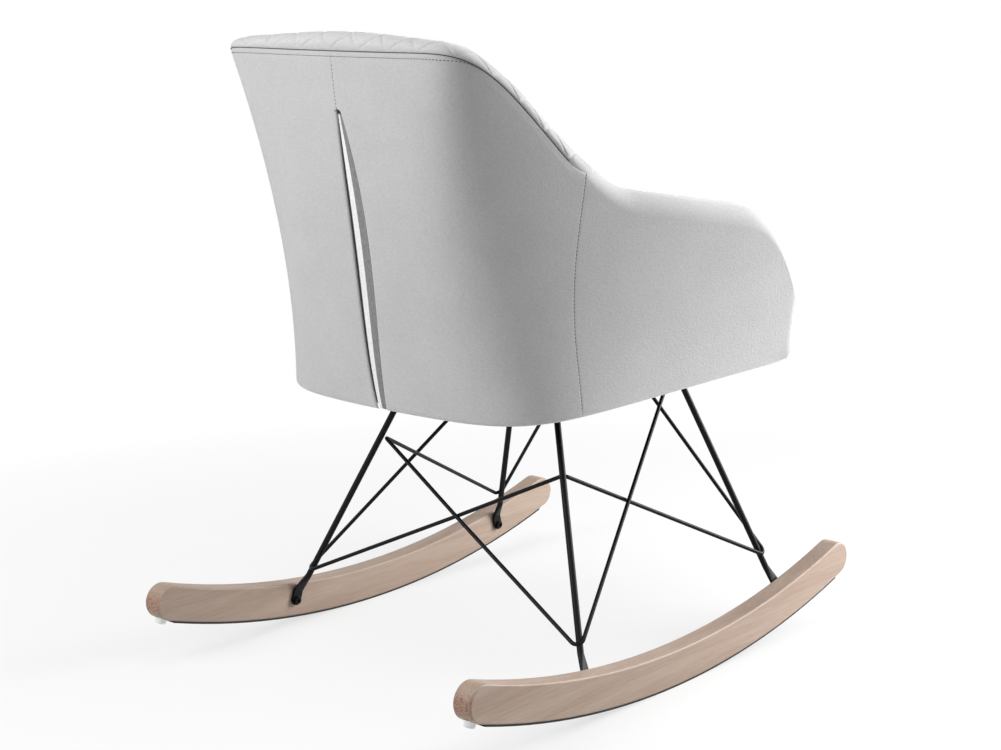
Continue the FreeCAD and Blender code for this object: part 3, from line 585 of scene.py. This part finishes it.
def blown_cushion(material):
    """Seat pad: the foam's shape blown up a little, so that its top is crowned and its edges soft."""
    source = bpy.data.objects.new("seat_cushion", NODES["seat_foam"].data.copy())
    bpy.context.scene.collection.objects.link(source)
    source.matrix_world = NODES["seat_foam"].matrix_world
    remesh = source.modifiers.new("voxels", "REMESH")
    remesh.mode = "VOXEL"
    remesh.voxel_size = CUSHION_VOXEL
    mesh = evaluated(source)
    source.modifiers.clear()
    source.data = mesh
    start = corners(mesh)
    low = np.array([z < under_z(y / MM) * MM + CUSHION_HELD for _, y, z in start])
    held = source.vertex_groups.new(name="held")
    held.add(np.nonzero(low)[0].tolist(), 1.0, "REPLACE")
    cloth = source.modifiers.new("cloth", "CLOTH").settings
    cloth.use_pressure = True
    cloth.uniform_pressure_force = CUSHION_PRESSURE
    cloth.vertex_group_mass = "held"
    cloth.effector_weights.gravity = 0.0
    for number in range(1, CUSHION_FRAMES + 1):
        bpy.context.scene.frame_set(number)
    moved = corners(evaluated(source)) - start
    source.modifiers.clear()
    moved[:, :2] = np.clip(moved[:, :2], -CUSHION_SIDE_CAP, CUSHION_SIDE_CAP)
    moved[:, 2] = np.clip(moved[:, 2], -CUSHION_SINK_CAP, CUSHION_RISE_CAP)
    mesh.vertices.foreach_set("co", (start + moved).ravel())
    bpy.context.scene.frame_set(1)
    finer = source.modifiers.new("finer", "SUBSURF")
    finer.levels = finer.render_levels = 1
    mesh.shade_smooth()
    mesh.materials.clear()
    mesh.materials.append(material)
    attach(source, BODY)
    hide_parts("seat_cover", "seat_foam")
    return source


def evaluated(piece):
    graph = bpy.context.evaluated_depsgraph_get()
    return bpy.data.meshes.new_from_object(piece.evaluated_get(graph))


def corners(mesh):
    flat = np.empty(len(mesh.vertices) * 3)
    mesh.vertices.foreach_get("co", flat)
    return flat.reshape(-1, 3)


# Materials

def linear(hex_colour):
    """sRGB hex to the linear colour that shaders take."""
    channels = [int(hex_colour[i:i + 2], 16) / 255 for i in (1, 3, 5)]
    return tuple(c / 12.92 if c <= 0.04045 else ((c + 0.055) / 1.055) ** 2.4 for c in channels) + (1.0,)


def put(tree, kind, inputs=None, stops=(), **settings):
    """Adds a node with its settings and colour stops, and fills or links its inputs."""
    node = tree.nodes.new("ShaderNode" + kind)
    for name, value in settings.items():
        setattr(node, name, value)
    for number, (place, colour) in enumerate(stops):
        elements = node.color_ramp.elements
        stop = elements[number] if number < len(elements) else elements.new(place)
        stop.position = place
        stop.color = linear(colour)
    for name, value in (inputs or {}).items():
        if isinstance(value, bpy.types.NodeSocket):
            tree.links.new(value, node.inputs[name])
        else:
            node.inputs[name].default_value = value
    return node


def new_material(name):
    material = bpy.data.materials.new(name)
    material.use_nodes = True
    material.node_tree.nodes.clear()
    return material, material.node_tree


def short_pile_velvet():
    """Velvet, woven and cropped short: matt where one looks into the pile, with a pale bloom at a slant."""
    material, tree = new_material("short_pile_velvet")
    place = put(tree, "TexCoord").outputs["Object"]
    # Tufts of 0.5 mm are too fine to show, so the lie of the pile is drawn 3.2 mm wide, in patches of 60 mm
    flat = put(tree, "Mapping", {"Vector": place, "Scale": (1.0, 1.0, 1.8)}).outputs[0]
    lie = put(tree, "TexNoise", {"Vector": flat, "Scale": 1000 / 3.2, "Detail": 3.0, "Roughness": 0.6})
    lie = lie.outputs["Fac"]
    patch = put(tree, "TexNoise", {"Vector": place, "Scale": 1000 / 60.0, "Detail": 3.0}).outputs["Fac"]
    tone = put(tree, "Math", {0: patch, 1: 0.35, 2: lie}, operation="MULTIPLY_ADD").outputs[0]
    pile = put(tree, "ValToRGB", {"Fac": tone}, [(0.5, "#bababb"), (0.85, "#c5c5c6")]).outputs["Color"]
    bump = put(tree, "Bump", {"Height": lie, "Strength": 0.5, "Distance": 0.0008}).outputs[0]
    shader = put(tree, "BsdfPrincipled", {
        "Base Color": pile, "Normal": bump, "Roughness": 0.9, "IOR": 1.45, "Specular IOR Level": 0.1,
        "Sheen Weight": 0.6, "Sheen Roughness": 0.4, "Sheen Tint": linear("#f4f4f5")})
    put(tree, "OutputMaterial", {"Surface": shader.outputs[0]})
    return material


def steamed_beech():
    """Beech, steamed, planed and lacquered matt: pale and pinkish, fine grain and flecks, redder pored ends."""
    material, tree = new_material("steamed_beech")
    place = put(tree, "TexCoord").outputs["Object"]
    # Grain lines 1.8 mm apart in bands of 17 mm, all 28 times as long as wide; flecks 1.1 mm wide
    long_way = put(tree, "Mapping", {"Vector": place, "Scale": (1.0, 1 / 28, 1.0)}).outputs[0]
    grain = put(tree, "TexNoise", {"Vector": long_way, "Scale": 1000 / 1.8, "Detail": 4.0, "Roughness": 0.65})
    band = put(tree, "TexNoise", {"Vector": long_way, "Scale": 1000 / 17.0, "Detail": 2.0})
    fleck = put(tree, "TexNoise", {"Vector": long_way, "Scale": 1000 / 1.1, "Detail": 1.0})
    tone = put(tree, "Math", {0: grain.outputs["Fac"], 1: band.outputs["Fac"]}, operation="ADD").outputs[0]
    half = put(tree, "Math", {0: tone, 1: 0.5}, operation="MULTIPLY").outputs[0]
    wood = put(tree, "ValToRGB", {"Fac": half},
               [(0.36, "#9a8476"), (0.5, "#a49081"), (0.64, "#ad9a8c")]).outputs["Color"]
    dark = put(tree, "MapRange", {"Value": fleck.outputs["Fac"], "From Min": 0.66, "From Max": 0.74,
                                  "To Min": 0.0, "To Max": 0.3}).outputs[0]
    flecked = put(tree, "MixRGB", {"Fac": dark, "Color1": wood, "Color2": linear("#8a7060")}).outputs[0]
    # Cut ends show pores in rows, 1.5 mm high and 4 mm long, drawn coarser than they are
    rows = put(tree, "Mapping", {"Vector": place, "Scale": (1.5 / 4.0, 0.2, 1.0)}).outputs[0]
    pore = put(tree, "TexNoise", {"Vector": rows, "Scale": 1000 / 1.5, "Detail": 1.0}).outputs["Fac"]
    cut = put(tree, "ValToRGB", {"Fac": pore}, [(0.5, "#9a7a67"), (0.6, "#70493a")]).outputs["Color"]
    across = put(tree, "NewGeometry").outputs["Normal"]
    across = put(tree, "SeparateXYZ", {"Vector": across}).outputs["Y"]
    across = put(tree, "Math", {0: across}, operation="ABSOLUTE").outputs[0]
    end = put(tree, "MapRange", {"Value": across, "From Min": 0.6, "From Max": 0.95,
                                 "To Max": 0.8}).outputs[0]
    colour = put(tree, "MixRGB", {"Fac": end, "Color1": flecked, "Color2": cut}).outputs[0]
    bump = put(tree, "Bump", {"Height": grain.outputs["Fac"], "Strength": 0.1, "Distance": 0.0003}).outputs[0]
    shader = put(tree, "BsdfPrincipled", {"Base Color": colour, "Normal": bump, "Roughness": 0.5, "IOR": 1.5,
                                          "Specular IOR Level": 0.35})
    put(tree, "OutputMaterial", {"Surface": shader.outputs[0]})
    return material


def speckled(name, dark, pale, grit_mm, rough, metal=0.0, bump=0.1, specular=0.5, stretch=(1.0, 1.0, 1.0)):
    """Finish with a grain of the given size, uneven in tone and relief, its gloss worn in patches of 17 mm."""
    material, tree = new_material(name)
    place = put(tree, "TexCoord").outputs["Object"]
    drawn = put(tree, "Mapping", {"Vector": place, "Scale": stretch}).outputs[0]
    grit = put(tree, "TexNoise", {"Vector": drawn, "Scale": 1000 / grit_mm, "Detail": 2.0}).outputs["Fac"]
    colour = put(tree, "ValToRGB", {"Fac": grit}, [(0.35, dark), (0.65, pale)]).outputs["Color"]
    wear = put(tree, "TexNoise", {"Vector": place, "Scale": 1000 / 17.0, "Detail": 3.0}).outputs["Fac"]
    gloss = put(tree, "MapRange", {"Value": wear, "To Min": rough - 0.07, "To Max": rough + 0.07}).outputs[0]
    relief = put(tree, "Bump", {"Height": grit, "Strength": bump, "Distance": grit_mm * 0.0003}).outputs[0]
    shader = put(tree, "BsdfPrincipled", {"Base Color": colour, "Normal": relief, "Roughness": gloss,
                                          "Metallic": metal, "Specular IOR Level": specular})
    put(tree, "OutputMaterial", {"Surface": shader.outputs[0]})
    return material


def paint_node(names, material):
    for name in names:
        NODES[name].data.materials.clear()
        NODES[name].data.materials.append(material)


def both(name):
    return [name + "_left", name + "_right"]


velvet = short_pile_velvet()
beech = steamed_beech()
# Powder coat, sprayed and baked: near-black satin with a faint orange peel
coated_steel = speckled("powder_coated_steel", "#050505", "#0b0b0b", 0.8, 0.45, bump=0.15, specular=0.15)
# Rubber, moulded: dull black with a dusty grain
rubber = speckled("moulded_rubber", "#101010", "#1b1b1b", 0.6, 0.75)
# Soft plastic, moulded frosted: milky white, with a soft gloss
frosted_plastic = speckled("frosted_soft_plastic", "#dfe3e4", "#eef1f1", 1.5, 0.4)
# Black oxide on turned steel: dark metal with a low gleam
black_oxide = speckled("black_oxide_steel", "#17171a", "#26262a", 0.4, 0.35, metal=1.0)
# Zinc plate: bright grey metal with a fine bloom
zinc = speckled("bright_zinc", "#a9acb0", "#c6c9cc", 0.7, 0.35, metal=1.0)
# Turned brass: yellow metal with fine tool marks
brass = speckled("turned_brass", "#a98c4c", "#c4a766", 0.5, 0.35, metal=1.0)
# Raw plywood, sanded: long straw-coloured grain, no gloss
plywood = speckled("sanded_plywood", "#b08f68", "#cbab84", 2.0, 0.8, stretch=(1.0, 0.04, 1.0))
# Spun dust cloth: thin black felt with loose fibres
dust_cloth = speckled("spun_dust_cloth", "#0d0d0d", "#1f1f1f", 1.2, 0.95, bump=0.4)
# Polypropylene, moulded: dark grey with a low even gloss
shell_plastic = speckled("moulded_polypropylene", "#202022", "#2b2b2d", 1.0, 0.5)
# Cotton tape, woven: matt white with a cross rib, drawn 0.9 mm so that it shows
white_tape = speckled("woven_tape", "#e3e3e2", "#f4f4f3", 0.9, 0.9, bump=0.3, stretch=(0.2, 1.0, 1.0))
# Back of the velvet, knitted, with fine ribs: flat mid grey, partly its own tone and partly painted shade for
# the fold that lies under the slit's edge
backing_and_painted_shade = speckled("knitted_velvet_backing_and_painted_shade", "#777778", "#8c8c8d", 1.2, 0.95, bump=0.3,
                   stretch=(1.0, 1.0, 0.2))
# Polyester thread, twisted: near black, with a slight gleam; in the rim seam it also paints the groove's shade
thread = speckled("twisted_thread", "#2b2b2c", "#3a3a3b", 0.5, 0.7)

paint_node(both("rocker"), beech)
paint_node(both("grip_strip"), rubber)
paint_node(["end_bumpers"], frosted_plastic)
paint_node(both("rear_leg") + both("front_leg") + both("brace_wire"), coated_steel)
paint_node(["front_crossbar", "rear_crossbar"], coated_steel)
paint_node(["foot_bolts", "seat_bolts"], black_oxide)
paint_node(["seat_washers", "tee_nuts"], zinc)
paint_node(["insert_nuts"], brass)
paint_node(["seat_board"], plywood)
paint_node(["dust_cover"], dust_cloth)
paint_node(["moulded_shell"], shell_plastic)

sewn_lining(velvet)
for side, is_left in (("right", False), ("left", True)):
    sewn_arm("arm_velvet_" + side, "arm_cover_" + side, is_left, velvet)
    sewn_back("back_velvet_" + side, "back_panel_" + side, is_left, velvet)
tape = slit_strip("slit_tape", (0.14, 0.56), (2.2, 1.9), 0.55, white_tape)
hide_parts("slit_facing")
# The fold behind the slit is drawn in the darker backing grey, which paints the shade under the panel's edge
slit_strip("slit_fold", (0.5, 1.3), (1.1, 2.6), 0.0, backing_and_painted_shade)
sewn_thread_and_seam_shade(thread)
blown_cushion(velvet)


# Studio

def direction(azimuth, elevation):
    a, e = math.radians(azimuth), math.radians(elevation)
    return Vector((math.sin(a) * math.cos(e), -math.cos(a) * math.cos(e), math.sin(e)))


def place_camera():
    camera = bpy.data.objects.new("camera", bpy.data.cameras.new("camera"))
    bpy.context.scene.collection.objects.link(camera)
    back = direction(CAMERA_AZIMUTH, CAMERA_ELEVATION)
    camera.location = CAMERA_TARGET + back * CAMERA_DISTANCE
    camera.rotation_euler = (-back).to_track_quat("-Z", "Y").to_euler()
    camera.data.sensor_width = SENSOR_MM
    camera.data.lens = FOCAL_PIXELS / IMAGE_WIDTH * SENSOR_MM
    bpy.context.scene.camera = camera


def softbox(name, azimuth, elevation, distance, size, watts):
    """Square of even light beside the chair, turned towards it."""
    lamp = bpy.data.lights.new(name, "AREA")
    lamp.size = size
    lamp.energy = watts
    box = bpy.data.objects.new(name, lamp)
    bpy.context.scene.collection.objects.link(box)
    way = direction(azimuth, elevation)
    box.location = CAMERA_TARGET + way * distance
    box.rotation_euler = (-way).to_track_quat("-Z", "Y").to_euler()


def seen_white(tree):
    """Output that is 1 for what the camera, metal or glass sees, and 0 for light on the object."""
    path = put(tree, "LightPath").outputs
    seen = put(tree, "Math", {0: path["Is Camera Ray"], 1: path["Is Glossy Ray"]},
               operation="MAXIMUM").outputs[0]
    return put(tree, "Math", {0: seen, 1: path["Is Transmission Ray"]}, operation="MAXIMUM").outputs[0]


def pale_floor():
    """Matt white paper, which keeps the chair's soft shadow near it and fades to plain white further out."""
    mesh = bpy.data.meshes.new("floor")
    ends = ((-1, -1), (1, -1), (1, 1), (-1, 1))
    mesh.from_pydata([(x * FLOOR_HALF, y * FLOOR_HALF, 0.0) for x, y in ends], [], [(0, 1, 2, 3)])
    floor = bpy.data.objects.new("floor", mesh)
    bpy.context.scene.collection.objects.link(floor)
    material, tree = new_material("white_paper")
    shader = put(tree, "BsdfPrincipled", {"Base Color": linear("#e6e6e6"), "Roughness": 0.9,
                                          "Specular IOR Level": 0.0})
    glow = put(tree, "Emission", {"Color": linear("#ffffff"), "Strength": 1.0})
    place = put(tree, "TexCoord").outputs["Object"]
    far = put(tree, "VectorMath", {0: place}, operation="LENGTH").outputs["Value"]
    white = put(tree, "MapRange", {"Value": far, "From Min": 0.6, "From Max": 1.3,
                                   "To Min": 0.7, "To Max": 1.0})
    part = put(tree, "Math", {0: seen_white(tree), 1: white.outputs[0]}, operation="MULTIPLY").outputs[0]
    paper = put(tree, "MixShader", {0: part, 1: shader.outputs[0], 2: glow.outputs[0]})
    put(tree, "OutputMaterial", {"Surface": paper.outputs[0]})
    mesh.materials.append(material)


def studio_air():
    world = bpy.data.worlds.new("studio")
    bpy.context.scene.world = world
    world.use_nodes = True
    tree = world.node_tree
    tree.nodes.clear()
    strength = put(tree, "MapRange", {"Value": seen_white(tree), "To Min": AIR_LIGHT, "To Max": 1.0})
    air = put(tree, "Background", {"Color": linear("#ffffff"), "Strength": strength.outputs[0]})
    put(tree, "OutputWorld", {"Surface": air.outputs[0]})


place_camera()
pale_floor()
studio_air()
for box_name, (turn, *setting) in SOFTBOXES.items():
    softbox(box_name, CAMERA_AZIMUTH + turn, *setting)
bpy.context.scene.view_settings.view_transform = "Standard"
